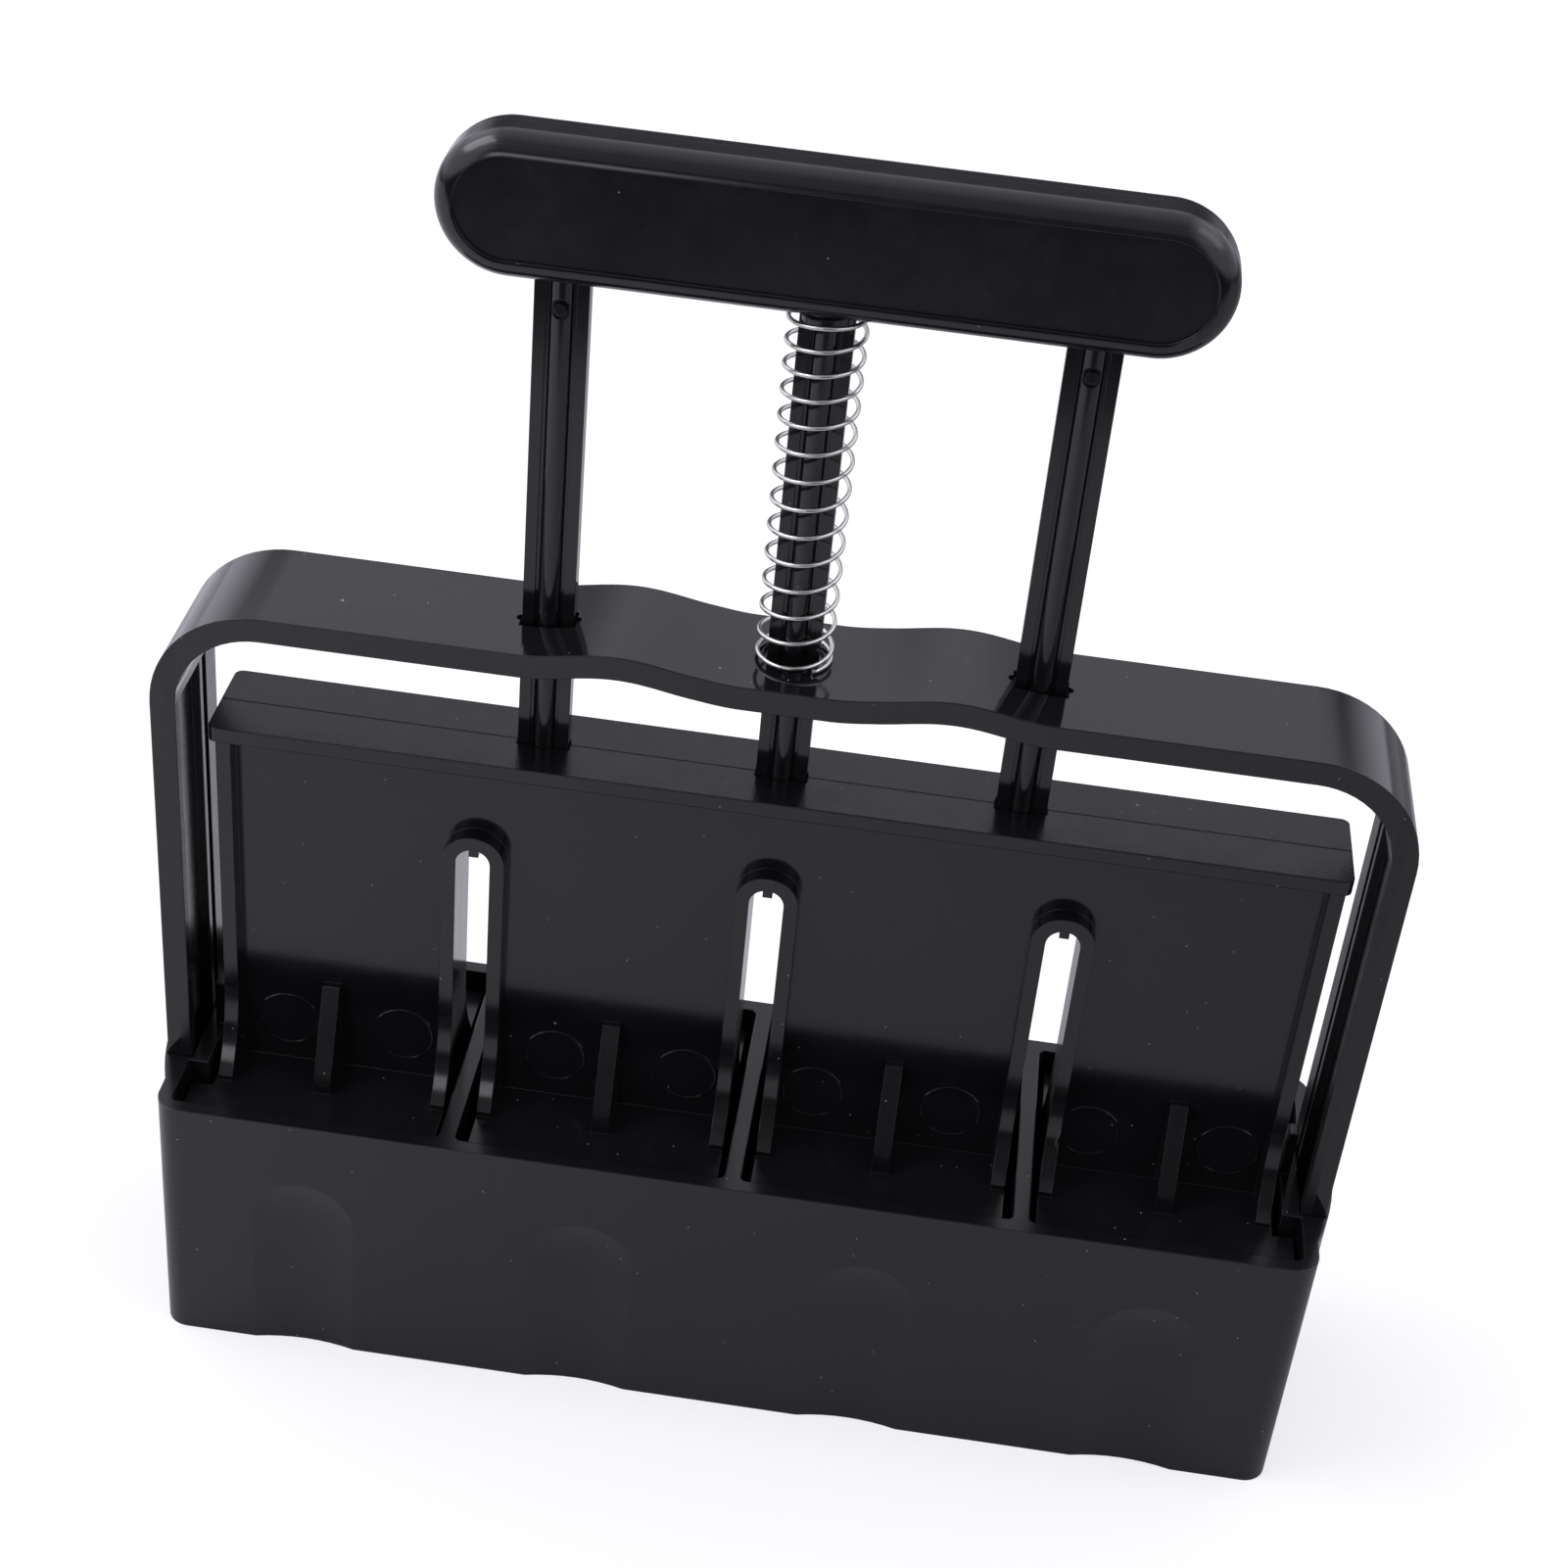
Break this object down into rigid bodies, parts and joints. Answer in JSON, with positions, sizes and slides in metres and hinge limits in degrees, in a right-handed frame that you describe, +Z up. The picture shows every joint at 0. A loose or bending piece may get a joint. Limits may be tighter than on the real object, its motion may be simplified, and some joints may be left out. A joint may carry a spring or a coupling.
{
  "type": "soil blocker",
  "caption": "Hand press for seedling soil blocks: open box of square cells on an arched frame, with a sprung plunger of pressing plates under a stadium-shaped grip.",
  "frame": {"origin": "centre of the box's footprint, on the plane that the box stands on", "axes": "+X along the row of cells, +Y from the panelled front to the rear, +Z up along the rods"},
  "size_m": [0.2214, 0.0546, 0.242],
  "materials": {
    "box_plastic": "black moulded plastic, soft gloss",
    "frame_plastic": "black moulded plastic, soft gloss",
    "pusher_plastic": "black moulded plastic, polished faces and a finely grained roof",
    "rod_plastic": "black moulded plastic, polished",
    "grip_plastic": "black moulded plastic, polished rim and a satin panel",
    "spring_steel": "drawn stainless wire",
    "screw_steel": "plated steel screws"
  },
  "bodies": {
    "box": {"base_box": "box_plastic", "frame": "frame_plastic", "spring": "spring_steel"},
    "plunger": {"pusher_front": "pusher_plastic", "pusher_rear": "pusher_plastic", "rod_left": "rod_plastic", "rod_middle": "rod_plastic", "rod_right": "rod_plastic", "cross_pin_left": "rod_plastic", "cross_pin_right": "rod_plastic", "grip_front": "grip_plastic", "grip_rear": "grip_plastic", "grip_screws": "screw_steel", "pusher_screws": "screw_steel", "seed_pin_1": "pusher_plastic", "seed_pin_2": "pusher_plastic", "seed_pin_3": "pusher_plastic", "seed_pin_4": "pusher_plastic"}
  },
  "joints": [
    {"name": "press_slide", "type": "slide", "parent": "box", "child": "plunger", "axis": [0, 0, 1], "range_m": [-0.046, 0], "stiffness_N_per_m": 400, "springref_m": 0.012, "deforming": ["spring"]}
  ]
}
